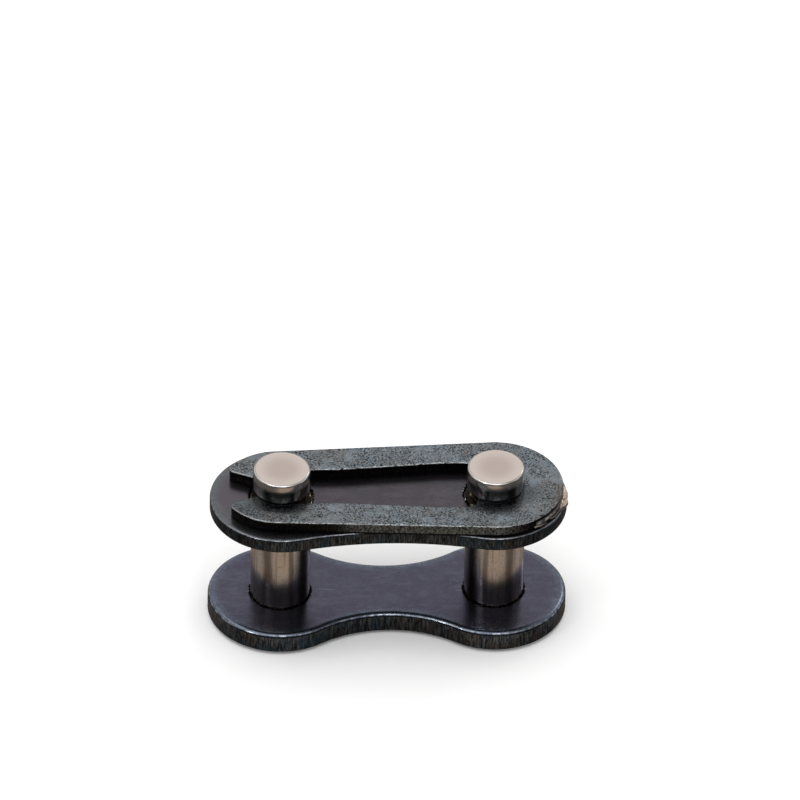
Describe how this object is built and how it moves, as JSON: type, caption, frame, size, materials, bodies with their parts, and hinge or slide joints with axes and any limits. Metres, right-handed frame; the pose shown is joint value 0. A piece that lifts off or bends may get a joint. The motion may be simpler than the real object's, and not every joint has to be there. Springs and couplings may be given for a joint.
{
  "type": "bicycle chain connecting link",
  "caption": "Spring-clip connecting link for a bicycle chain: a waisted back plate with riveted pins, a loose cover plate and a U-shaped clip in the pin grooves.",
  "frame": {"origin": "midway between the pins, level with the flat ends of the rivets on the underside", "axes": "+X runs from the open-end pin to the closed-end pin, +Z runs along the pins from the back plate to the clip, +Y across the link"},
  "size_m": [0.0212, 0.0086, 0.0108],
  "materials": {
    "plate_steel": "satin blued",
    "cover_steel": "satin blued",
    "clip_steel": "speckled blue-grey, bare metal at the torn edge",
    "pin_nickel": "satin nickel plate"
  },
  "bodies": {
    "root": {"back_plate": "plate_steel", "open_end_pin": "pin_nickel", "closed_end_pin": "pin_nickel", "cover_plate": "cover_steel", "spring_clip": "clip_steel"}
  },
  "joints": []
}
